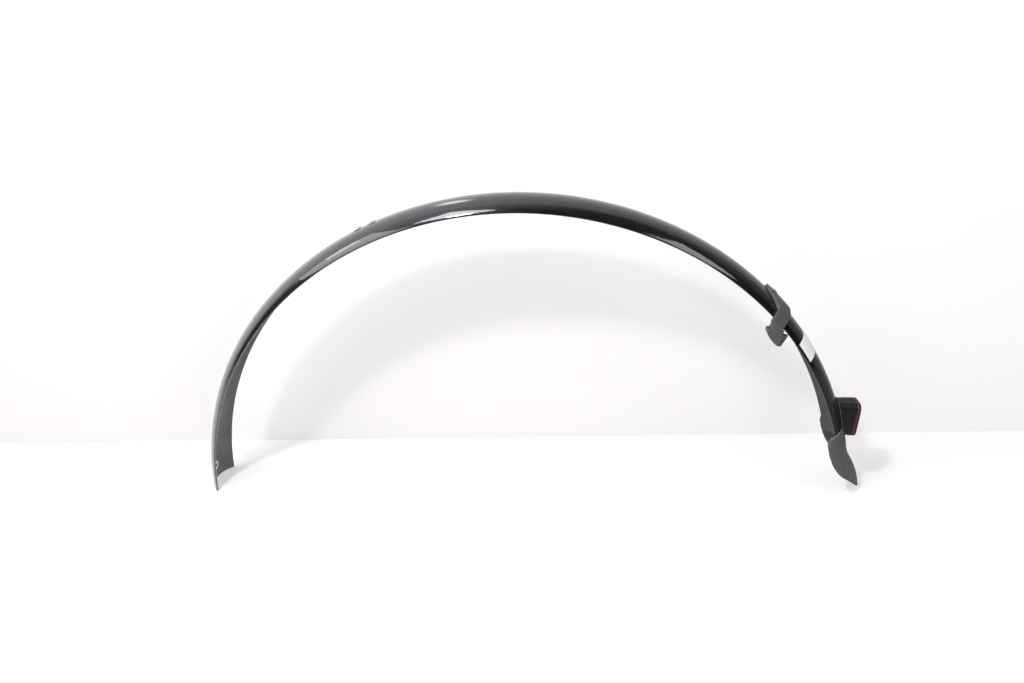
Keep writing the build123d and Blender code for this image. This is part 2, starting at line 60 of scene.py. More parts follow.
class GuardSizes(bpy.types.PropertyGroup):
    """Sizes of the blade and of the flap on its end."""

    edge_radius: FloatProperty(
        name="Edge radius", description="Wheel axle to the blade's side edges", default=0.350, unit="LENGTH"
    )
    blade_width: FloatProperty(
        name="Blade width", description="Width across the side edges",
        default=blade_high[1] - blade_low[1], unit="LENGTH",
    )
    blade_depth: FloatProperty(
        name="Blade depth", description="Side edges to the crown", default=0.0135, unit="LENGTH"
    )
    blade_wall: FloatProperty(
        name="Blade wall", description="Thickness of the blade", default=0.0018, unit="LENGTH"
    )
    blade_end: FloatProperty(
        name="Blade end", description="Rear end of the blade, round the axle from straight back",
        default=radians(13.2566), subtype="ANGLE",
    )
    flap_wall: FloatProperty(
        name="Flap wall", description="Thickness of the mud flap", default=0.0018, unit="LENGTH"
    )
    flap_lip: FloatProperty(
        name="Flap lip", description="Upper edge of the flap, round the axle from straight back",
        default=radians(17.3548), subtype="ANGLE",
    )
    flap_kick: FloatProperty(
        name="Flap kick", description="Place where the flap starts to curve outwards",
        default=radians(12.9413), subtype="ANGLE",
    )
    flap_kick_radius: FloatProperty(
        name="Kick radius", description="Outward curve of the flap", default=0.060, unit="LENGTH"
    )
    flap_kick_turn: FloatProperty(
        name="Kick turn", description="Angle of the outward curve", default=radians(20), subtype="ANGLE"
    )
    flap_curl_radius: FloatProperty(
        name="Curl radius", description="Curve back to the flap's tip", default=0.090, unit="LENGTH"
    )
    flap_near_skirt: FloatProperty(
        name="Near skirt", description="Flap past the blade's near edge", default=0.010, unit="LENGTH"
    )
    flap_far_skirt: FloatProperty(
        name="Far skirt", description="Flap past the blade's far edge", default=0.0012, unit="LENGTH"
    )
    flap_straight: FloatProperty(
        name="Straight sides", description="Lip to where the flap's sides start to close in",
        default=0.020, unit="LENGTH",
    )
    flap_near_round: FloatProperty(
        name="Near round", description="Round of the lip's near corner", default=0.005, unit="LENGTH"
    )
    flap_far_round: FloatProperty(
        name="Far round", description="Round of the lip's far corner", default=0.014, unit="LENGTH"
    )
    flap_tip_gap: FloatProperty(
        name="Tip gap", description="Length left off the tip, so that its edge clears the floor",
        default=0.0008, unit="LENGTH",
    )
    flap_tip_flat: FloatProperty(
        name="Tip flat", description="Straight stretch of the flap's tip", default=0.005, unit="LENGTH"
    )


class GuardColours(bpy.types.PropertyGroup):
    """Colours of the finishes."""

    blade: FloatVectorProperty(
        name="Blade", description="Gloss plastic of the blade", subtype="COLOR",
        default=(0.0045, 0.0045, 0.0055), min=0, max=1,
    )
    inside: FloatVectorProperty(
        name="Inside", description="Dull underside of the blade", subtype="COLOR",
        default=(0.066, 0.066, 0.067), min=0, max=1,
    )
    bracket: FloatVectorProperty(
        name="Bracket", description="Matt plastic of the stay bracket", subtype="COLOR",
        default=(0.075, 0.073, 0.075), min=0, max=1,
    )
    flap: FloatVectorProperty(
        name="Flap", description="Rubber of the mud flap", subtype="COLOR",
        default=(0.099, 0.096, 0.095), min=0, max=1,
    )
    # Darker than the outside: partly dirt, partly painted shade on the flap's inner skin
    flap_inside_dirt_and_shade: FloatVectorProperty(
        name="Flap inside", description="Dirty rubber inside the mud flap", subtype="COLOR",
        default=(0.036, 0.033, 0.029), min=0, max=1,
    )
    lamp: FloatVectorProperty(
        name="Lamp", description="Satin plastic of the lamp housing", subtype="COLOR",
        default=(0.009, 0.009, 0.010), min=0, max=1,
    )
    lens: FloatVectorProperty(
        name="Lens", description="Clear red of the lamp's lens", subtype="COLOR",
        default=(0.33, 0.004, 0.004), min=0, max=1,
    )
    # Near-black: partly the rubber's own colour, partly painted shade in the gap between the lamp and the
    # blade
    gasket: FloatVectorProperty(
        name="Gasket", description="Soft rubber under the lamp", subtype="COLOR",
        default=(0.004, 0.004, 0.004), min=0, max=1,
    )
    label: FloatVectorProperty(
        name="Label", description="White film of the label", subtype="COLOR",
        default=(0.96, 0.96, 0.97), min=0, max=1,
    )
    zinc: FloatVectorProperty(
        name="Zinc", description="Plated steel of the hidden fasteners", subtype="COLOR",
        default=(0.56, 0.57, 0.58), min=0, max=1,
    )
    dust: FloatVectorProperty(
        name="Dust", description="Dry dust on the upper faces", subtype="COLOR",
        default=(0.30, 0.28, 0.25), min=0, max=1,
    )


class StageSettings(bpy.types.PropertyGroup):
    """Floor, wall, camera and light."""

    camera_place: FloatVectorProperty(
        name="Camera", description="Place of the camera", subtype="XYZ", unit="LENGTH",
        default=(0.034907, -0.676450, 0.518478),
    )
    camera_turn: FloatVectorProperty(
        name="Camera turn", description="Pitch, roll and yaw of the camera", subtype="EULER",
        default=(radians(63.4119), radians(1.8708), radians(2.9940)),
    )
    camera_lens: FloatProperty(name="Lens", description="Focal length in millimetres", default=25.453)
    wall_gap: FloatProperty(
        name="Wall gap", description="Guard's middle plane to the wall behind it",
        default=0.088, unit="LENGTH",
    )
    wall_turn: FloatProperty(
        name="Wall turn", description="Turn of the wall about the upright",
        default=radians(1.5), subtype="ANGLE",
    )
    wall_lean: FloatProperty(
        name="Wall lean", description="Lean of the wall towards the guard", default=0.064, subtype="ANGLE"
    )
    stage_colour: FloatVectorProperty(
        name="Stage", description="White of the floor and the wall", subtype="COLOR",
        default=(0.61, 0.595, 0.59), min=0, max=1,
    )
    key_place: FloatVectorProperty(
        name="Key light", description="Place of the main light", subtype="XYZ", unit="LENGTH",
        default=(-0.306, -0.486, 1.044),
    )
    key_size: FloatProperty(
        name="Key size", description="Width of the main light", default=0.08, unit="LENGTH"
    )
    key_power: FloatProperty(
        name="Key power", description="Power of the main light", default=6.3, unit="POWER"
    )
    glow_place: FloatVectorProperty(
        name="Key glow", description="Place of the soft light beside the main one",
        subtype="XYZ", unit="LENGTH", default=(-0.34, -0.38, 1.10),
    )
    glow_power: FloatProperty(
        name="Glow power", description="Power of the soft light beside the main one",
        default=3.0, unit="POWER",
    )
    left_power: FloatProperty(
        name="Left power", description="Power of the left panel", default=14.0, unit="POWER"
    )
    core_power: FloatProperty(
        name="Core power", description="Power of the left panel's bright middle", default=0.8, unit="POWER"
    )
    right_power: FloatProperty(
        name="Right power", description="Power of the right panel", default=5.5, unit="POWER"
    )
    fill_power: FloatProperty(
        name="Fill power", description="Power of the soft fill from the right", default=5.5, unit="POWER"
    )
    light_colour: FloatVectorProperty(
        name="Light", description="Colour of all the lights", subtype="COLOR",
        default=(0.97, 0.96, 1.0), min=0, max=1,
    )


class GuardSettings(bpy.types.PropertyGroup):
    """Everything that can be changed."""

    sizes: PointerProperty(type=GuardSizes, name="Sizes", description="Sizes of the blade and the flap")
    colours: PointerProperty(type=GuardColours, name="Colours", description="Colours of the finishes")
    stage: PointerProperty(type=StageSettings, name="Stage", description="Floor, wall, camera and light")


# Geometry of the guard


class Arch:
    """Places on the blade: angles round the axle, turns round the section's arc."""

    def __init__(self, sizes):
        middle_half = (sizes.blade_width - sizes.blade_wall) / 2
        middle_depth = sizes.blade_depth - sizes.blade_wall
        middle_arc = (middle_half**2 + middle_depth**2) / (2 * middle_depth)
        self.edge_radius = sizes.edge_radius
        self.crown = sizes.edge_radius + sizes.blade_depth
        self.outer = middle_arc + sizes.blade_wall / 2
        self.inner = middle_arc - sizes.blade_wall / 2
        self.centre = self.crown - self.outer
        self.edge_turn = asin(middle_half / middle_arc)
        drop = self.crown - blade_high[2]
        self.front = pi - asin(drop / sizes.edge_radius)
        self.axle = Vector((blade_low[0] - self.crown * cos(self.front), 0, -drop))

    def spoke(self, angle):
        """Direction away from the axle."""
        return Vector((cos(angle), 0, sin(angle)))

    def skirt_turn(self, radius, wall, overhang):
        """Turn at which a strip on the blade ends when it reaches past the blade's edge."""
        end = self.edge_radius - overhang + wall / 2 - self.centre
        return acos(end / (radius + wall / 2))


class Station:
    """One section of a bent strip: the centre of its arc, its outward direction and its limits."""

    def __init__(self, centre, outward, inner, outer, near, far):
        self.centre = centre
        self.outward = outward
        self.inner = inner
        self.outer = outer
        self.near = near
        self.far = far

    def point(self, radius, turn):
        """Point on the arc; a positive turn goes to the near side."""
        return self.centre + self.outward * (radius * cos(turn)) - Vector((0, radius * sin(turn), 0))

    def ring(self, columns, rim):
        """Outer arc, near rim, inner arc and far rim; columns run from -1 at the far edge to 1."""
        turns = [c * (self.near if c > 0 else self.far) for c in columns]
        middle, half = (self.inner + self.outer) / 2, (self.outer - self.inner) / 2
        points = [self.point(self.outer, t) for t in turns]
        points += self.rim(middle, half, turns[-1], 1, rim)
        points += [self.point(self.inner, t) for t in reversed(turns)]
        points += reversed(self.rim(middle, half, turns[0], -1, rim))
        return points

    def rim(self, middle, half, turn, way, steps):
        """Half round at an edge, from the outer to the inner arc, without its two ends."""
        heart = self.point(middle, turn)
        out = (heart - self.centre).normalized()
        along = Vector((0, -out.dot(self.outward), 0)) - self.outward * sin(turn)
        return [
            heart + out * (half * cos(pi * k / steps)) + along * (way * half * sin(pi * k / steps))
            for k in range(1, steps)
        ]


def loft(bm, stations, columns, rim, skip=()):
    """Skins a row of stations and closes its ends; skip holds the cells to leave open.

    The faces of the inner skin get the second material.
    """
    rows = [[bm.verts.new(p) for p in s.ring(columns, rim)] for s in stations]
    count, width = len(rows[0]), len(columns)
    inner_skin = range(width + rim - 1, 2 * width + rim - 2)
    for i in range(len(rows) - 1):
        for j in range(count):
            if (i, j) not in skip:
                k = (j + 1) % count
                face = bm.faces.new((rows[i][j], rows[i + 1][j], rows[i + 1][k], rows[i][k]))
                face.material_index = int(j in inner_skin)
    for row, flip in ((rows[0], False), (rows[-1], True)):
        outer = row[:width]
        inner = row[width + rim - 1:2 * width + rim - 1][::-1]
        quads = [(outer[j], outer[j + 1], inner[j + 1], inner[j]) for j in range(width - 1)]
        quads.append([outer[-1], *row[width:width + rim - 1], inner[-1]])
        quads.append([inner[0], *row[2 * width + rim - 1:], outer[0]])
        for q in quads:
            bm.faces.new(q[::-1] if flip else q)
    return rows


def spread(start, end, step):
    """Even places from start to end, about a step apart at most, without the last."""
    slack = 0.0001
    count = max(1, ceil((end - start) / step - slack))
    return [start + (end - start) * k / count for k in range(count)]


# Shared shader effects


def new_group(name, inputs, outputs):
    """Empty shader node group with named sockets; inputs map a name to its default."""
    group = bpy.data.node_groups.new(name, "ShaderNodeTree")
    for title, default in inputs.items():
        socket = group.interface.new_socket(name=title, in_out="INPUT", socket_type="NodeSocketFloat")
        socket.default_value = default
    for title in outputs:
        group.interface.new_socket(name=title, in_out="OUTPUT", socket_type="NodeSocketFloat")
    return group, group.nodes.new("NodeGroupInput"), group.nodes.new("NodeGroupOutput")


def mix_colour(tree, factor, first, second):
    """Mix of two colours by a mask; each may be a socket or a fixed colour."""
    node = tree.nodes.new("ShaderNodeMix")
    node.data_type = "RGBA"
    tree.links.new(factor, node.inputs[0])
    # The node's colour sockets are inputs 6 and 7 and output 2
    for index, value in ((6, first), (7, second)):
        if isinstance(value, bpy.types.NodeSocket):
            tree.links.new(value, node.inputs[index])
        else:
            node.inputs[index].default_value = (*value, 1)
    return node.outputs[2]


def calculate(tree, operation, first, second):
    """Math node on two sockets or numbers."""
    node = tree.nodes.new("ShaderNodeMath")
    node.operation = operation
    for index, value in enumerate((first, second)):
        if isinstance(value, bpy.types.NodeSocket):
            tree.links.new(value, node.inputs[index])
        else:
            node.inputs[index].default_value = value
    return node.outputs[0]


def ramp(tree, value, low, high, to_low=0.0, to_high=1.0):
    """Map Range node."""
    node = tree.nodes.new("ShaderNodeMapRange")
    tree.links.new(value, node.inputs["Value"])
    for key, number in (("From Min", low), ("From Max", high), ("To Min", to_low), ("To Max", to_high)):
        if isinstance(number, bpy.types.NodeSocket):
            tree.links.new(number, node.inputs[key])
        else:
            node.inputs[key].default_value = number
    return node.outputs["Result"]


def noise(tree, vector, scale, detail=3.0, roughness=0.5):
    """Noise texture; its scale may be a socket."""
    node = tree.nodes.new("ShaderNodeTexNoise")
    tree.links.new(vector, node.inputs["Vector"])
    node.inputs["Detail"].default_value = detail
    node.inputs["Roughness"].default_value = roughness
    if isinstance(scale, bpy.types.NodeSocket):
        tree.links.new(scale, node.inputs["Scale"])
    else:
        node.inputs["Scale"].default_value = scale
    return node.outputs[0]


def make_grain_group():
    """Moulded grain: a fine height and a broad patchiness."""
    inputs = {"Fine scale": 2500.0, "Patch scale": 60.0}
    group, given, out = new_group("Moulded grain", inputs, ["Height", "Patches"])
    place = group.nodes.new("ShaderNodeTexCoord").outputs["Object"]
    fine = noise(group, place, given.outputs["Fine scale"], 2.0)
    broad = noise(group, place, given.outputs["Patch scale"], 4.0, 0.6)
    group.links.new(fine, out.inputs["Height"])
    group.links.new(ramp(group, broad, 0.35, 0.65), out.inputs["Patches"])


def make_dust_group():
    """Dry dust: more on faces that look up, in broken patches with fine specks."""
    inputs = {"Patch scale": 45.0, "Speck scale": 1400.0, "Cover": 0.5}
    group, given, out = new_group("Dust", inputs, ["Mask"])
    place = group.nodes.new("ShaderNodeTexCoord").outputs["Object"]
    facing = group.nodes.new("ShaderNodeSeparateXYZ")
    group.links.new(group.nodes.new("ShaderNodeNewGeometry").outputs["Normal"], facing.inputs[0])
    upward = ramp(group, facing.outputs["Z"], -0.6, 1.0, 0.25, 1.0)
    patches = ramp(group, noise(group, place, given.outputs["Patch scale"], 5.0, 0.62), 0.42, 0.72)
    specks = ramp(group, noise(group, place, given.outputs["Speck scale"], 2.0), 0.60, 0.74)
    mask = calculate(group, "MULTIPLY", calculate(group, "MAXIMUM", patches, specks), upward)
    group.links.new(calculate(group, "MULTIPLY", mask, given.outputs["Cover"]), out.inputs["Mask"])


def make_scratch_group():
    """Hairline scratches, mostly in one direction."""
    inputs = {"Length scale": 30.0, "Width scale": 2600.0}
    group, given, out = new_group("Hairlines", inputs, ["Mask"])
    place = group.nodes.new("ShaderNodeTexCoord").outputs["UV"]
    # Turn and shift of each set of lines
    sets = ((0.0, 0.0), (0.05, 3.0), (-0.12, 7.0))
    lines = []
    for turn, shift in sets:
        joined = group.nodes.new("ShaderNodeCombineXYZ")
        group.links.new(given.outputs["Length scale"], joined.inputs["X"])
        group.links.new(given.outputs["Width scale"], joined.inputs["Y"])
        mapping = group.nodes.new("ShaderNodeMapping")
        group.links.new(place, mapping.inputs["Vector"])
        group.links.new(joined.outputs[0], mapping.inputs["Scale"])
        mapping.inputs["Rotation"].default_value = (0, 0, turn)
        mapping.inputs["Location"].default_value = (shift, shift, 0)
        lines.append(ramp(group, noise(group, mapping.outputs[0], 1.0, 2.0), 0.66, 0.72))
    both = calculate(group, "MAXIMUM", lines[0], lines[1])
    group.links.new(calculate(group, "MAXIMUM", both, lines[2]), out.inputs["Mask"])


def make_wear_and_sheen_group():
    """Outer corners, broken up by noise: worn edges on some finishes, a painted highlight on the lamp's
    edges.
    """
    inputs = {"Break scale": 300.0, "Break depth": 0.03, "Sharpness": 0.53}
    group, given, out = new_group("Edge wear", inputs, ["Mask"])
    place = group.nodes.new("ShaderNodeTexCoord").outputs["Object"]
    corner = group.nodes.new("ShaderNodeNewGeometry").outputs["Pointiness"]
    uneven = ramp(group, noise(group, place, given.outputs["Break scale"], 3.0), 0.3, 0.7, -1.0, 1.0)
    broken = calculate(group, "MULTIPLY", uneven, given.outputs["Break depth"])
    level = calculate(group, "SUBTRACT", given.outputs["Sharpness"], broken)
    fade = 0.04
    full = calculate(group, "ADD", level, fade)
    group.links.new(ramp(group, corner, level, full), out.inputs["Mask"])


# Materials


class Finish:
    """A material under construction."""

    def __init__(self, name):
        self.material = bpy.data.materials.new(name)
        self.material.use_nodes = True
        self.tree = self.material.node_tree
        self.shader = self.tree.nodes["Principled BSDF"]

    def group(self, name, **values):
        """Shared effect with this material's own values."""
        node = self.tree.nodes.new("ShaderNodeGroup")
        node.node_tree = bpy.data.node_groups[name]
        for key, value in values.items():
            node.inputs[key.replace("_", " ").capitalize()].default_value = value
        return node

    def set(self, **values):
        """Fixed values on the shader's own sockets."""
        for key, value in values.items():
            self.shader.inputs[key.replace("_", " ")].default_value = value

    def link(self, socket, source):
        """Joins a source to one of the shader's sockets."""
        self.tree.links.new(source, self.shader.inputs[socket])

    def part_of(self, source, share):
        """A mask or value taken in part."""
        return calculate(self.tree, "MULTIPLY", source, share)

    def bump(self, height, depth, under=None):
        """Normal of a relief; under is a normal to build on."""
        node = self.tree.nodes.new("ShaderNodeBump")
        node.inputs["Strength"].default_value = 1.0
        node.inputs["Distance"].default_value = depth
        self.tree.links.new(height, node.inputs["Height"])
        if under is not None:
            self.tree.links.new(under, node.inputs["Normal"])
        return node.outputs["Normal"]

    def grained(self, grain, depth, under=None):
        """Fine moulded relief."""
        self.link("Normal", self.bump(grain.outputs["Height"], depth, under))

    def patchy(self, grain, low, high):
        """Roughness that wanders between two values."""
        self.link("Roughness", ramp(self.tree, grain.outputs["Patches"], 0.0, 1.0, low, high))

    def clouded(self, grain, first, second):
        """Colour that wanders between two colours."""
        self.link("Base Color", mix_colour(self.tree, grain.outputs["Patches"], first, second))

    def dusted(self, dust, under, colour):
        """Colour under a veil of dust."""
        self.link("Base Color", mix_colour(self.tree, dust.outputs["Mask"], under, colour))

    def worn_and_lit_edges(self, wear_and_sheen, colour, paler, share):
        """Colour that gets so many times paler on the edges: wear on the bracket, partly wear and partly a
        painted highlight on the flap, a painted highlight on the lamp.
        """
        light = tuple(min(1.0, c * paler) for c in colour)
        return mix_colour(self.tree, self.part_of(wear_and_sheen.outputs["Mask"], share), colour, light)


def gloss_blade(colours):
    """Black plastic under a clear gloss, with a soft ripple, smears, hairlines and a little dust."""
    f = Finish("blade_gloss")
    grain = f.group("Moulded grain", fine_scale=420.0, patch_scale=22.0)
    lines = f.group("Hairlines", length_scale=9.0, width_scale=900.0)
    dust = f.group("Dust", patch_scale=30.0, speck_scale=900.0, cover=0.02)
    scratch_colour = (0.20, 0.20, 0.21)
    scratched = mix_colour(f.tree, f.part_of(lines.outputs["Mask"], 0.05), colours.blade, scratch_colour)
    f.dusted(dust, scratched, colours.dust)
    smeared = ramp(f.tree, grain.outputs["Patches"], 0.0, 1.0, 0.26, 0.34)
    rough = calculate(f.tree, "ADD", smeared, f.part_of(lines.outputs["Mask"], 0.12))
    f.link("Roughness", calculate(f.tree, "ADD", rough, f.part_of(dust.outputs["Mask"], 0.8)))
    place = f.tree.nodes.new("ShaderNodeTexCoord").outputs["Object"]
    rippled = f.bump(noise(f.tree, place, scale=75.0, detail=2.0), depth=0.00014)
    f.grained(grain, depth=0.000012, under=rippled)
    f.link("Coat Normal", rippled)
    f.set(IOR=1.20, Specular_Tint=(0.80, 0.87, 1.0, 1))
    f.set(Coat_Weight=1.0, Coat_IOR=1.60, Coat_Roughness=0.05)
    return f.material


def dull_inside(colours):
    """Underside of the blade, dulled by road dirt."""
    f = Finish("blade_inside")
    grain = f.group("Moulded grain", fine_scale=1500.0, patch_scale=38.0)
    dust = f.group("Dust", patch_scale=26.0, speck_scale=700.0, cover=0.35)
    f.dusted(dust, colours.inside, colours.dust)
    f.patchy(grain, 0.42, 0.68)
    f.grained(grain, depth=0.00004)
    return f.material


def matt_plastic(colours):
    """Fine grained plastic of the stay bracket, paler on its corners."""
    f = Finish("bracket_plastic")
    grain = f.group("Moulded grain", fine_scale=2600.0, patch_scale=90.0)
    wear_and_sheen = f.group("Edge wear", break_scale=420.0, sharpness=0.55)
    dust = f.group("Dust", patch_scale=120.0, speck_scale=2000.0, cover=0.08)
    f.dusted(dust, f.worn_and_lit_edges(wear_and_sheen, colours.bracket, paler=2.6, share=0.6), colours.dust)
    f.patchy(grain, 0.45, 0.60)
    f.grained(grain, depth=0.00005)
    return f.material


def flap_rubber(name, colour, dust_colour):
    """Dull rubber with scuffs, dust and pale edges; the pale edges are partly wear and partly a painted
    highlight where the lip catches the light.
    """
    f = Finish(name)
    grain = f.group("Moulded grain", fine_scale=1800.0, patch_scale=70.0)
    wear_and_sheen = f.group("Edge wear", break_scale=260.0, sharpness=0.54)
    dust = f.group("Dust", patch_scale=60.0, speck_scale=1500.0, cover=0.28)
    # Edges painted paler: partly wear, partly a painted highlight on the lip
    f.dusted(dust, f.worn_and_lit_edges(wear_and_sheen, colour, paler=4.0, share=0.7), dust_colour)
    f.patchy(grain, 0.48, 0.70)
    f.grained(grain, depth=0.00006)
    return f.material


def lamp_plastic(colours):
    """Satin plastic of the lamp housing, its corners painted paler as a painted highlight where light catches
    the shoulder.
    """
    f = Finish("lamp_plastic")
    grain = f.group("Moulded grain", fine_scale=2200.0, patch_scale=110.0)
    wear_and_sheen = f.group("Edge wear", break_scale=500.0, break_depth=0.008, sharpness=0.512)
    dust = f.group("Dust", patch_scale=140.0, speck_scale=1800.0, cover=0.03)
    # Painted highlight: the edges are painted 36 times paler to stand for light on the housing's shoulder
    f.dusted(dust, f.worn_and_lit_edges(wear_and_sheen, colours.lamp, paler=36.0, share=1.0), colours.dust)
    f.patchy(grain, 0.26, 0.32)
    f.grained(grain, depth=0.00002)
    f.set(IOR=1.45)
    return f.material


def gasket_rubber(colours):
    """Soft black rubber of the gasket and the grommet; its near-black colour is partly the rubber's own and
    partly painted shade in the gap under the lamp.
    """
    f = Finish("gasket_rubber")
    grain = f.group("Moulded grain", fine_scale=2000.0, patch_scale=120.0)
    dust = f.group("Dust", patch_scale=130.0, speck_scale=1600.0, cover=0.04)
    f.dusted(dust, colours.gasket, colours.dust)
    f.patchy(grain, 0.55, 0.75)
    f.grained(grain, depth=0.00004)
    return f.material


def red_lens(colours):
    """Clear red lens with rows of small prisms."""
    f = Finish("lens_red")
    grain = f.group("Moulded grain", fine_scale=700.0, patch_scale=90.0)
    prisms = prism_rows(f.tree, cell=0.0026, tilt=radians(18))
    groove = tuple(c * 0.45 for c in colours.lens)
    f.link("Base Color", mix_colour(f.tree, ramp(f.tree, prisms, 0.42, 0.62), colours.lens, groove))
    f.patchy(grain, 0.05, 0.12)
    f.link("Normal", f.bump(prisms, depth=0.0005))
    f.set(IOR=1.49, Transmission_Weight=0.65)
    return f.material


def prism_rows(tree, cell, tilt):
    """Distance to the middle of each cell in a square lattice on a face turned back by tilt."""
    place = tree.nodes.new("ShaderNodeTexCoord").outputs["Object"]
    turned = tree.nodes.new("ShaderNodeMapping")
    turned.inputs["Rotation"].default_value = (0, tilt, 0)
    tree.links.new(place, turned.inputs["Vector"])
    split = tree.nodes.new("ShaderNodeSeparateXYZ")
    tree.links.new(turned.outputs[0], split.inputs[0])
    flat = tree.nodes.new("ShaderNodeCombineXYZ")
    tree.links.new(split.outputs["Y"], flat.inputs["X"])
    tree.links.new(split.outputs["Z"], flat.inputs["Y"])
    lattice = tree.nodes.new("ShaderNodeTexVoronoi")
    lattice.voronoi_dimensions = "2D"
    lattice.inputs["Scale"].default_value = 1 / cell
    lattice.inputs["Randomness"].default_value = 0
    tree.links.new(flat.outputs[0], lattice.inputs["Vector"])
    return lattice.outputs["Distance"]


def label_film(colours):
    """White film with a slight sheen and soiled spots."""
    f = Finish("label_film")
    grain = f.group("Moulded grain", fine_scale=900.0, patch_scale=160.0)
    dust = f.group("Dust", patch_scale=180.0, speck_scale=1500.0, cover=0.30)
    soiled = (0.45, 0.44, 0.42)
    f.dusted(dust, colours.label, soiled)
    f.patchy(grain, 0.28, 0.42)
    f.link("Normal", f.bump(grain.outputs["Patches"], depth=0.00003))
    return f.material


def zinc_steel(colours):
    """Zinc plated steel with a cloudy bloom."""
    f = Finish("zinc_steel")
    grain = f.group("Moulded grain", fine_scale=1600.0, patch_scale=320.0)
    bloom = tuple(c * 0.62 for c in colours.zinc)
    f.clouded(grain, colours.zinc, bloom)
    f.patchy(grain, 0.26, 0.46)
    f.grained(grain, depth=0.00001)
    f.set(Metallic=1.0)
    return f.material


def black_rivet(colours):
    """Black painted rivet, rubbed through on its rim."""
    f = Finish("rivet_black")
    grain = f.group("Moulded grain", fine_scale=1800.0, patch_scale=260.0)
    wear_and_sheen = f.group("Edge wear", break_scale=600.0, sharpness=0.56)
    paint = (0.012, 0.012, 0.013)
    f.link("Base Color", mix_colour(f.tree, wear_and_sheen.outputs["Mask"], paint, colours.zinc))
    f.link("Metallic", wear_and_sheen.outputs["Mask"])
    f.patchy(grain, 0.22, 0.36)
    f.grained(grain, depth=0.00001)
    return f.material


def silvered_tray():
    """Silvered plastic of the reflector."""
    f = Finish("reflector_silver")
    grain = f.group("Moulded grain", fine_scale=900.0, patch_scale=200.0)
    f.clouded(grain, (0.86, 0.86, 0.87), (0.76, 0.76, 0.77))
    f.patchy(grain, 0.12, 0.24)
    f.set(Metallic=1.0)
    return f.material


def green_board():
    """Green lacquer of the circuit board."""
    f = Finish("board_green")
    grain = f.group("Moulded grain", fine_scale=1500.0, patch_scale=400.0)
    f.clouded(grain, (0.012, 0.11, 0.035), (0.02, 0.15, 0.05))
    f.patchy(grain, 0.25, 0.4)
    return f.material


def amber_led():
    """Clear cap of a light source."""
    f = Finish("led_clear")
    grain = f.group("Moulded grain", fine_scale=1500.0, patch_scale=700.0)
    f.clouded(grain, (0.85, 0.78, 0.50), (0.80, 0.70, 0.35))
    f.patchy(grain, 0.12, 0.2)
    return f.material


# Pieces

# Cell size of the moulded skins
SKIN_CELL = 0.0003


def settings():
    """The values that a user can change."""
    return bpy.context.scene.mudguard


def seat(piece, node, slot):
    """Puts a piece in the scene, where it rides with the guard and stands for a CAD node."""
    bpy.context.scene.collection.objects.link(piece)
    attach(piece, "root")
    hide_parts(node)


def put_piece(name, bm, materials, node, slot, sharp=radians(40)):
    """Turns a bmesh into a piece that stands for a CAD node; edges over the angle sharp stay crisp."""
    bmesh.ops.recalc_face_normals(bm, faces=bm.faces)
    for face in bm.faces:
        face.smooth = True
    for edge in bm.edges:
        if len(edge.link_faces) == 2 and edge.calc_face_angle() > sharp:
            edge.smooth = False
    mesh = bpy.data.meshes.new(name)
    bm.to_mesh(mesh)
    bm.free()
    for material in materials:
        mesh.materials.append(material)
    seat(bpy.data.objects.new(name, mesh), node, slot)


def dress(node, material):
    """Gives a CAD node a finished material."""
    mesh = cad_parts[node].data
    mesh.materials.clear()
    mesh.materials.append(material)


def moulded(node, name, material, slot, passes):
    """Copy of a CAD node with soft moulded edges, which stands for the node."""
    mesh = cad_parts[node].data.copy()
    mesh.name = name
    mesh.materials.clear()
    mesh.materials.append(material)
    piece = bpy.data.objects.new(name, mesh)
    remesh = piece.modifiers.new("Moulded skin", "REMESH")
    remesh.mode = "VOXEL"
    remesh.voxel_size = SKIN_CELL
    remesh.use_smooth_shade = True
    soften = piece.modifiers.new("Soft edges", "SMOOTH")
    soften.factor = 0.5
    soften.iterations = passes
    seat(piece, node, slot)
    return piece


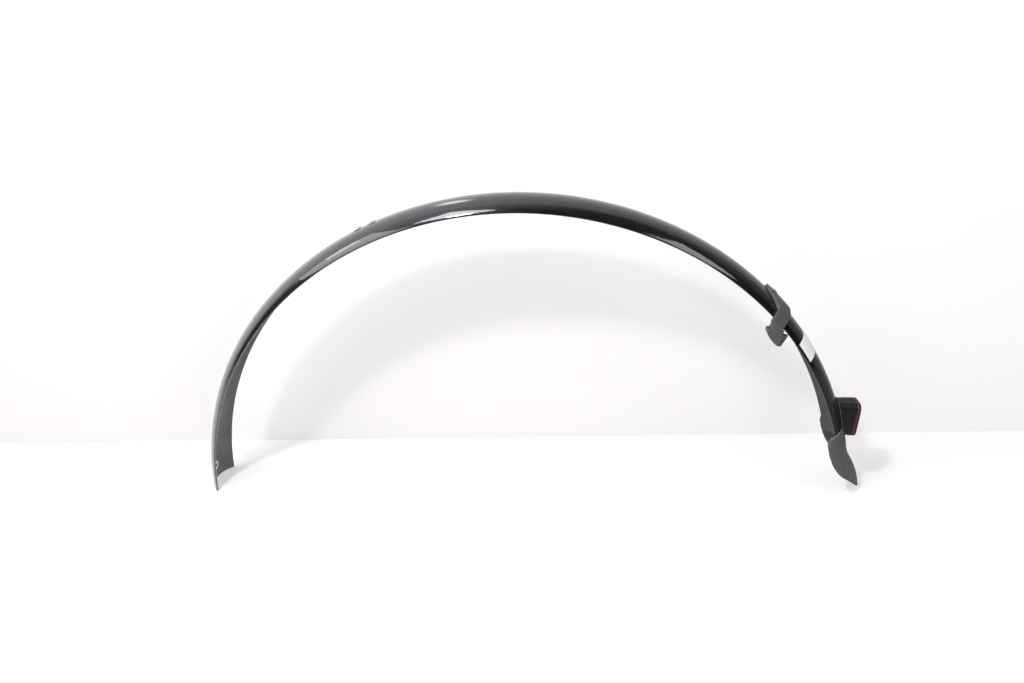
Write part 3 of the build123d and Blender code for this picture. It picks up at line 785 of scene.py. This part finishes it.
class MUDGUARD_OT_blade(bpy.types.Operator):
    """Makes the blade: a bent channel with rounded edges and the holes for its fasteners"""

    bl_idname = "mudguard.blade"
    bl_label = "Blade"

    # Fastener holes on the middle line, as angle round the axle in degrees and radius in millimetres
    holes = (
        (172.9026, 3.4), (114.708, 1.7), (113.4, 2.75), (112.092, 1.7),
        (45.240, 1.7), (20.2, 3.1), (18.3, 2.6), (14.439, 1.7),
    )
    # Square patch round a hole: cells along its side and half its width
    cells = 8
    patch = 0.00415
    # Mesh elsewhere: spacing along the blade, cells from a patch to the edge, steps round the edge
    step = 0.0026
    side_cells = 12
    rim = 8
    # Shortest run of mesh between two patches
    least_run = 0.00001
    # How far past the inner skin a face may lie and still belong to it
    skin_slack = 0.0001

    def execute(self, context):
        sizes = settings().sizes
        self.arch = arch = Arch(sizes)
        places = self.along((arch.front - sizes.blade_end) * arch.crown)
        strip = asin(self.patch / arch.outer) / arch.edge_turn
        side = [strip + (1 - strip) * k / self.side_cells for k in range(1, self.side_cells + 1)]
        middle = [strip * (2 * k / self.cells - 1) for k in range(self.cells + 1)]
        columns = [-c for c in reversed(side)] + middle + side
        stations = [self.station(arch.front - s / arch.crown) for s in places]
        width = len(columns)
        starts = [self.patch_start(places, radians(angle)) for angle, _ in self.holes]
        bm = bmesh.new()
        rows = loft(bm, stations, columns, self.rim, self.open_cells(starts, width))
        for start, (angle, radius) in zip(starts, self.holes):
            self.open_hole(bm, rows, start, width, radians(angle), radius / 1000)
        bmesh.ops.recalc_face_normals(bm, faces=bm.faces)
        self.lay_uv(bm)
        self.mark_inside(bm)
        colours = settings().colours
        put_piece("blade_shell", bm, [gloss_blade(colours), dull_inside(colours)], "blade", "blade")
        return {"FINISHED"}

    def along(self, length):
        """Stations along the crown from the front end, with an even patch at each hole."""
        centres = [(self.arch.front - radians(a)) * self.arch.crown for a, _ in self.holes]
        places, here = [], 0.0
        for c in centres:
            if c - self.patch - here > self.least_run:
                places += spread(here, c - self.patch, self.step)
            places += [c - self.patch + 2 * self.patch * k / self.cells for k in range(self.cells)]
            here = c + self.patch
        return places + spread(here, length, self.step) + [length]

    def patch_start(self, places, angle):
        """Number of the station where a hole's patch starts."""
        edge = (self.arch.front - angle) * self.arch.crown - self.patch
        return min(range(len(places)), key=lambda i: abs(places[i] - edge))

    def open_cells(self, starts, width):
        """Cells of both skins that are left open for the holes' patches."""
        cells = set()
        for start in starts:
            for i in range(start, start + self.cells):
                for j in range(self.side_cells, self.side_cells + self.cells):
                    cells.add((i, j))
                    cells.add((i, 2 * width + self.rim - 3 - j))
        return cells

    def station(self, angle):
        """Section of the blade at an angle round the axle."""
        arch = self.arch
        outward = arch.spoke(angle)
        centre = arch.axle + outward * arch.centre
        return Station(centre, outward, arch.inner, arch.outer, arch.edge_turn, arch.edge_turn)

    def open_hole(self, bm, rows, start, width, angle, radius):
        """Fills a square patch of both skins with a round hole, and joins the two by its wall."""
        n = self.cells
        loop = [(0, k) for k in range(n)] + [(k, n) for k in range(n)]
        loop += [(n, n - k) for k in range(n)] + [(n - k, 0) for k in range(n)]
        circles = []
        for skin in (self.arch.outer, self.arch.inner):
            rings = [[]]
            for i, j in loop:
                column = self.side_cells + j
                if skin == self.arch.inner:
                    column = 2 * width + self.rim - 2 - column
                rings[0].append(rows[start + i][column])
            half = self.patch * skin / self.arch.outer
            # One ring half way from the patch's edge to the hole, and one on the hole's edge
            for share in (0.5, 1.0):
                ring = []
                for k, (i, j) in enumerate(loop):
                    turn = 2 * pi * k / len(loop) + pi / 4
                    edge = Vector((2 * i / n - 1, 2 * j / n - 1)) * half
                    round_edge = Vector((-cos(turn), -sin(turn))) * radius
                    ring.append(bm.verts.new(self.on_skin(edge.lerp(round_edge, share), angle, skin)))
                rings.append(ring)
            for a, b in zip(rings, rings[1:]):
                self.bridge(bm, a, b)
            circles.append(rings[-1])
        self.bridge(bm, *circles)

    def bridge(self, bm, a, b):
        """Joins two rings of points by a band of faces."""
        for k in range(len(a)):
            m = (k + 1) % len(a)
            bm.faces.new((a[k], a[m], b[m], b[k]))

    def on_skin(self, offset, angle, skin):
        """Point on a skin at an offset along the blade and across it from a place on the crown."""
        turn = asin(offset.y / skin)
        distance = self.arch.centre + skin * cos(turn)
        return self.station(angle - offset.x / distance).point(skin, turn)

    def mark_inside(self, bm):
        """Gives the faces of the inner skin the second material."""
        for face in bm.faces:
            heart = face.calc_center_median()
            out = heart - self.arch.axle
            out.y = 0
            from_centre = Vector((out.length - self.arch.centre, heart.y)).length
            face.material_index = int(from_centre < self.arch.inner + self.skin_slack)

    def lay_uv(self, bm):
        """Unrolls the blade, in metres along and across."""
        layer = bm.loops.layers.uv.new("unrolled")
        for face in bm.faces:
            for corner in face.loops:
                out = corner.vert.co - self.arch.axle
                along = (self.arch.front - atan2(out.z, out.x)) * self.arch.crown
                corner[layer].uv = (along, out.y)


class MUDGUARD_OT_flap(bpy.types.Operator):
    """Makes the mud flap: a rubber sleeve that curves outwards to a rounded tip"""

    bl_idname = "mudguard.flap"
    bl_label = "Mud flap"

    # Mesh: cells across, steps round the edge, sections along
    cells = 26
    rim = 8
    steps = 72
    # Outline towards the tip: how late it closes in and how bluntly
    late = 1.3
    blunt = 0.50

    def execute(self, context):
        sizes = settings().sizes
        self.arch = arch = Arch(sizes)
        self.inner = arch.outer
        self.outer = arch.outer + sizes.flap_wall
        self.near = arch.skirt_turn(arch.outer, sizes.flap_wall, sizes.flap_near_skirt)
        self.far = arch.skirt_turn(arch.outer, sizes.flap_wall, sizes.flap_far_skirt)
        columns = [2 * k / self.cells - 1 for k in range(self.cells + 1)]
        stations = self.sections(sizes)
        bm = bmesh.new()
        loft(bm, stations, columns, self.rim)
        colours = settings().colours
        outside = flap_rubber("flap_rubber", colours.flap, colours.dust)
        # The inner skin gets a darker copy of the rubber: partly dirt, partly painted shade
        inside = flap_rubber("flap_inside_dirt_and_shade", colours.flap_inside_dirt_and_shade, colours.dust)
        put_piece("flap_sleeve", bm, [outside, inside], "mud_flap", "flap")
        return {"FINISHED"}

    def sections(self, sizes):
        """Sections from the lip to the tip: along the blade, outwards in a kick, back in a curl."""
        arch = self.arch
        crown = arch.crown + sizes.flap_wall
        kick = arch.axle + arch.spoke(sizes.flap_kick) * (crown + sizes.flap_kick_radius)
        turned = sizes.flap_kick + sizes.flap_kick_turn
        curl = kick - arch.spoke(turned) * (sizes.flap_kick_radius + sizes.flap_curl_radius)
        sleeve = (sizes.flap_lip - sizes.flap_kick) * crown
        curled = sleeve + sizes.flap_kick_turn * sizes.flap_kick_radius
        floor_turn = turned + asin(curl.z / sizes.flap_curl_radius)
        length = curled + floor_turn * sizes.flap_curl_radius - sizes.flap_tip_gap
        stations = []
        for k in range(self.steps + 1):
            place = length * (1 - cos(pi * k / self.steps)) / 2
            if place < sleeve:
                out = arch.spoke(sizes.flap_lip - place / crown)
                centre = arch.axle + out * arch.centre
            elif place < curled:
                out = arch.spoke(sizes.flap_kick + (place - sleeve) / sizes.flap_kick_radius)
                centre = kick - out * (sizes.flap_kick_radius + self.outer)
            else:
                out = arch.spoke(turned - (place - curled) / sizes.flap_curl_radius)
                centre = curl + out * (sizes.flap_curl_radius - self.outer)
            near = self.side(sizes, self.near, sizes.flap_near_round, place, length)
            far = self.side(sizes, self.far, sizes.flap_far_round, place, length)
            stations.append(Station(centre, out, self.inner, self.outer, near, far))
        return stations

    def side(self, sizes, turn, corner, place, length):
        """Turn at which a side stops: rounded at the lip, straight, then closing in to the tip."""
        straight = sizes.flap_straight
        if place < corner:
            cut = corner - sqrt(corner**2 - (corner - place) ** 2)
            return turn - cut / self.outer
        closed = min(1.0, max(0.0, (place - straight) / (length - straight)))
        narrowed = turn * (1 - closed**self.late) ** self.blunt
        return max(sizes.flap_tip_flat / 2 / self.outer, narrowed)


class MUDGUARD_OT_bracket(bpy.types.Operator):
    """Dresses the stay bracket as a moulded piece with soft edges"""

    bl_idname = "mudguard.bracket"
    bl_label = "Stay bracket"

    soft_passes = 16

    def execute(self, context):
        plastic = matt_plastic(settings().colours)
        moulded("stay_bracket", "bracket_moulding", plastic, "bracket", self.soft_passes)
        return {"FINISHED"}


class MUDGUARD_OT_lamp(bpy.types.Operator):
    """Dresses the lamp: gasket, housing, lens and what lies inside"""

    bl_idname = "mudguard.lamp"
    bl_label = "Lamp"

    # Seat between pad and housing: its distance from the axle, its arc across and the housing's rim
    seat_crown = 0.3656
    seat_arc = 0.0385
    rim = 0.3769
    # How much closer to the blade the seat comes at the sides, and how far out that is
    side_drop = 0.0028
    half_width = 0.0185
    # Smoothing of the moulded edges
    body_passes = 5
    pad_passes = 4

    def execute(self, context):
        colours = settings().colours
        self.arch = Arch(settings().sizes)
        body = moulded("lamp_housing", "lamp_body", lamp_plastic(colours), "housing", self.body_passes)
        self.lower_seat(body, lambda reach, seat, skin: (self.rim - reach) / (self.rim - seat))
        pad = moulded("lamp_gasket", "lamp_pad", gasket_rubber(colours), "gasket", self.pad_passes)
        self.lower_seat(pad, lambda reach, seat, skin: (reach - skin) / (seat - skin))
        dress("lamp_lens", red_lens(colours))
        dress("lamp_reflector", silvered_tray())
        dress("lamp_board", green_board())
        dress("lamp_leds", amber_led())
        return {"FINISHED"}

    def lower_seat(self, piece, share):
        """Brings the seat closer to the blade at the two sides; share says how much a point follows."""
        arch = self.arch
        for vertex in piece.data.vertices:
            side = abs(vertex.co.y)
            out = vertex.co - arch.axle
            out.y = 0
            seat = self.seat_crown - self.seat_arc + sqrt(self.seat_arc**2 - side**2)
            skin = arch.centre + sqrt(arch.outer**2 - min(side, arch.outer * sin(arch.edge_turn)) ** 2)
            follow = min(1.0, max(0.0, share(out.length, seat, skin)))
            drop = self.side_drop * min(1.0, side / self.half_width) ** 2 * follow
            vertex.co -= out.normalized() * drop


class MUDGUARD_OT_label(bpy.types.Operator):
    """Dresses the blank label"""

    bl_idname = "mudguard.label"
    bl_label = "Label"

    def execute(self, context):
        dress("label", label_film(settings().colours))
        return {"FINISHED"}


class MUDGUARD_OT_fasteners(bpy.types.Operator):
    """Dresses the eyelet, the bridge plate, the rivets, the lamp's screw and its grommet"""

    bl_idname = "mudguard.fasteners"
    bl_label = "Fasteners"

    def execute(self, context):
        colours = settings().colours
        zinc, rivet = zinc_steel(colours), black_rivet(colours)
        for node in ("front_eyelet", "bridge_plate", "bridge_rivets", "lamp_bolt", "lamp_washer", "lamp_nut"):
            dress(node, zinc)
        for node in ("bracket_rivet", "flap_rivet"):
            dress(node, rivet)
        dress("lead_grommet", bpy.data.materials["gasket_rubber"])
        return {"FINISHED"}


class MUDGUARD_OT_stage(bpy.types.Operator):
    """Sets the floor, the wall, the lights and the camera"""

    bl_idname = "mudguard.stage"
    bl_label = "Stage"

    floor_reach = 3.0
    wall_height = 1.2

    # Panels of light, which look at the middle: places, widths and heights
    middle = Vector((0, 0, 0.15))
    glow_size = (0.30, 0.30)
    left_place = (-1.38, -0.48, 1.27)
    left_size = (1.40, 0.80)
    core_place = (-1.105, -0.065, 1.047)
    core_size = (0.25, 0.25)
    right_place = (1.30, -0.70, 1.24)
    right_size = (0.75, 0.62)
    fill_place = (0.70, -1.20, 0.35)
    fill_size = (0.9, 0.9)

    # Brightness of the wall and the floor to the camera, and the tint of all their glow
    seen_level = 0.45
    glow_tint = (1.0, 0.985, 0.995, 1)

    # Fades, each as the two places it runs between and the brightness at both
    left_fade = (-1.8, -0.7, 0.3, 1.0)
    right_fade = (-0.2, 0.5, 1.75, 0.22)
    # The glint: a patch of wall that glows only in reflections, a painted highlight on the blade's crown
    glint_place = (-0.097, -0.027, 0.422)
    glint_fade = (0.010, 0.034, 6.0, 0.0)

    # Room light: its colour, the two ways in which it grows and the fade along each
    room_colour = (0.95, 0.96, 1.0, 1)
    side_way = (-0.60, 0.65, 0.15)
    side_fade = (-0.12, 0.22, 0.08, 1.20)
    height_way = (0.0, 0.9, 1.0)
    height_fade = (0.2, 0.7, 0.08, 1.0)

    def execute(self, context):
        stage = settings().stage
        scene = context.scene
        scene.view_settings.view_transform = "Standard"
        self.backdrop(stage)
        self.world(scene)
        self.lights(stage)
        self.camera(scene, stage)
        return {"FINISHED"}

    def lights(self, stage):
        """Main light with a glow beside it, a panel at each side and a fill that leaves no reflection."""
        self.area_light("key", stage.key_place, (stage.key_size, stage.key_size), stage.key_power)
        self.area_light("key_glow", stage.glow_place, self.glow_size, stage.glow_power)
        self.area_light("left_panel", self.left_place, self.left_size, stage.left_power)
        self.area_light("left_core", self.core_place, self.core_size, stage.core_power)
        self.area_light("right_panel", self.right_place, self.right_size, stage.right_power)
        fill = self.area_light("fill", self.fill_place, self.fill_size, stage.fill_power)
        fill.visible_glossy = False

    def camera(self, scene, stage):
        """Camera at the photograph's viewing angle."""
        lens = bpy.data.cameras.new("camera")
        lens.sensor_fit = "HORIZONTAL"
        lens.sensor_width = 36.0
        lens.lens = stage.camera_lens
        lens.clip_start = 0.01
        camera = bpy.data.objects.new("camera", lens)
        camera.location = stage.camera_place
        camera.rotation_euler = stage.camera_turn
        scene.collection.objects.link(camera)
        scene.camera = camera

    def backdrop(self, stage):
        """Floor on both sides of a wall that leans a little towards the guard."""
        bm = bmesh.new()
        ends = (-self.floor_reach, self.floor_reach)
        front, foot, behind = ([bm.verts.new((x, y, 0)) for x in ends] for y in (ends[0], 0, ends[1]))
        lean = -self.wall_height * tan(stage.wall_lean)
        top = [bm.verts.new((x, lean, self.wall_height)) for x in ends]
        for low, high in ((front, foot), (foot, behind), (foot, top)):
            bm.faces.new((low[0], low[1], high[1], high[0]))
        mesh = bpy.data.meshes.new("backdrop")
        bm.to_mesh(mesh)
        bm.free()
        mesh.materials.append(self.white_paint(stage))
        sheet = bpy.data.objects.new("backdrop", mesh)
        turn = Matrix.Rotation(stage.wall_turn, 4, "Z")
        sheet.matrix_world = Matrix.Translation((0, stage.wall_gap, 0)) @ turn
        bpy.context.scene.collection.objects.link(sheet)

    def white_paint(self, stage):
        """White that looks bright to the camera, is graded in reflections and is clear from behind."""
        f = Finish("stage_white")
        path = f.tree.nodes.new("ShaderNodeLightPath").outputs
        place = f.tree.nodes.new("ShaderNodeTexCoord").outputs["Object"]
        glossy = path["Is Glossy Ray"]
        seen = f.part_of(path["Is Camera Ray"], self.seen_level)
        mirrored = calculate(f.tree, "MAXIMUM", glossy, path["Is Transmission Ray"])
        graded = calculate(f.tree, "MULTIPLY", mirrored, self.sideways(f.tree, place))
        glint = calculate(f.tree, "MULTIPLY", glossy, self.wall_glint(f.tree, place))
        steady = calculate(f.tree, "ADD", seen, graded)
        f.link("Emission Strength", calculate(f.tree, "ADD", steady, glint))
        f.link("Base Color", mix_colour(f.tree, glossy, stage.stage_colour, (0.0, 0.0, 0.0)))
        f.set(Roughness=1.0, Specular_IOR_Level=0.0, Emission_Color=self.glow_tint)
        clear = f.tree.nodes.new("ShaderNodeBsdfTransparent")
        choose = f.tree.nodes.new("ShaderNodeMixShader")
        back = f.tree.nodes.new("ShaderNodeNewGeometry").outputs["Backfacing"]
        f.tree.links.new(back, choose.inputs[0])
        f.tree.links.new(f.shader.outputs[0], choose.inputs[1])
        f.tree.links.new(clear.outputs[0], choose.inputs[2])
        f.tree.links.new(choose.outputs[0], f.tree.nodes["Material Output"].inputs["Surface"])
        return f.material

    def sideways(self, tree, place):
        """Brightness of the mirrored stage: brightest left of the middle, dim at both ends."""
        split = tree.nodes.new("ShaderNodeSeparateXYZ")
        tree.links.new(place, split.inputs[0])
        left = ramp(tree, split.outputs["X"], *self.left_fade)
        right = ramp(tree, split.outputs["X"], *self.right_fade)
        return calculate(tree, "MULTIPLY", left, right)

    def wall_glint(self, tree, place):
        """Patch of wall above the crown that glows only in reflections: a painted highlight on the crown."""
        gap = tree.nodes.new("ShaderNodeVectorMath")
        gap.operation = "DISTANCE"
        gap.inputs[1].default_value = self.glint_place
        tree.links.new(place, gap.inputs[0])
        return ramp(tree, gap.outputs["Value"], *self.glint_fade)

    def world(self, scene):
        """Room light: bright above, behind and to the left, dim elsewhere, and pale to the camera."""
        world = bpy.data.worlds.new("room")
        world.use_nodes = True
        tree = world.node_tree
        bright_side = ramp(tree, self.along(tree, self.side_way), *self.side_fade)
        raised = ramp(tree, self.along(tree, self.height_way), *self.height_fade)
        level = calculate(tree, "MULTIPLY", bright_side, raised)
        seen = tree.nodes.new("ShaderNodeLightPath").outputs["Is Camera Ray"]
        background = tree.nodes["Background"].inputs
        background["Color"].default_value = self.room_colour
        tree.links.new(calculate(tree, "MAXIMUM", level, seen), background["Strength"])
        scene.world = world

    def along(self, tree, way):
        """How far the light's direction goes along a given way."""
        share = tree.nodes.new("ShaderNodeVectorMath")
        share.operation = "DOT_PRODUCT"
        share.inputs[1].default_value = way
        tree.links.new(tree.nodes.new("ShaderNodeTexCoord").outputs["Generated"], share.inputs[0])
        return share.outputs["Value"]

    def area_light(self, name, place, size, power):
        """Soft light panel that looks at the guard's middle."""
        lamp = bpy.data.lights.new(name, "AREA")
        lamp.shape = "RECTANGLE"
        lamp.size, lamp.size_y = size
        lamp.energy = power
        lamp.color = settings().stage.light_colour
        light = bpy.data.objects.new(name, lamp)
        place = Vector(place)
        light.location = place
        light.rotation_euler = (self.middle - place).to_track_quat("-Z", "Y").to_euler()
        bpy.context.scene.collection.objects.link(light)
        return light


class MUDGUARD_PT_panel(bpy.types.Panel):
    """Lists the pieces and the stage"""

    bl_idname = "MUDGUARD_PT_panel"
    bl_label = "Mudguard"
    bl_space_type = "VIEW_3D"
    bl_region_type = "UI"
    bl_category = "Mudguard"

    def draw(self, context):
        for operator in OPERATORS:
            self.layout.operator(operator.bl_idname)


OPERATORS = (
    MUDGUARD_OT_blade, MUDGUARD_OT_flap, MUDGUARD_OT_bracket, MUDGUARD_OT_lamp,
    MUDGUARD_OT_label, MUDGUARD_OT_fasteners, MUDGUARD_OT_stage,
)
CLASSES = (GuardSizes, GuardColours, StageSettings, GuardSettings, *OPERATORS, MUDGUARD_PT_panel)


def register():
    """Makes the classes known to Blender."""
    for cls in CLASSES:
        bpy.utils.register_class(cls)
    bpy.types.Scene.mudguard = PointerProperty(type=GuardSettings)


def unregister():
    """Takes the classes back out."""
    del bpy.types.Scene.mudguard
    for cls in reversed(CLASSES):
        bpy.utils.unregister_class(cls)


def main():
    """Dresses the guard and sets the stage."""
    register()
    make_grain_group()
    make_dust_group()
    make_scratch_group()
    make_wear_and_sheen_group()
    bpy.ops.mudguard.blade()
    bpy.ops.mudguard.flap()
    bpy.ops.mudguard.bracket()
    bpy.ops.mudguard.lamp()
    bpy.ops.mudguard.label()
    bpy.ops.mudguard.fasteners()
    bpy.ops.mudguard.stage()


if __name__ == "__main__":
    main()
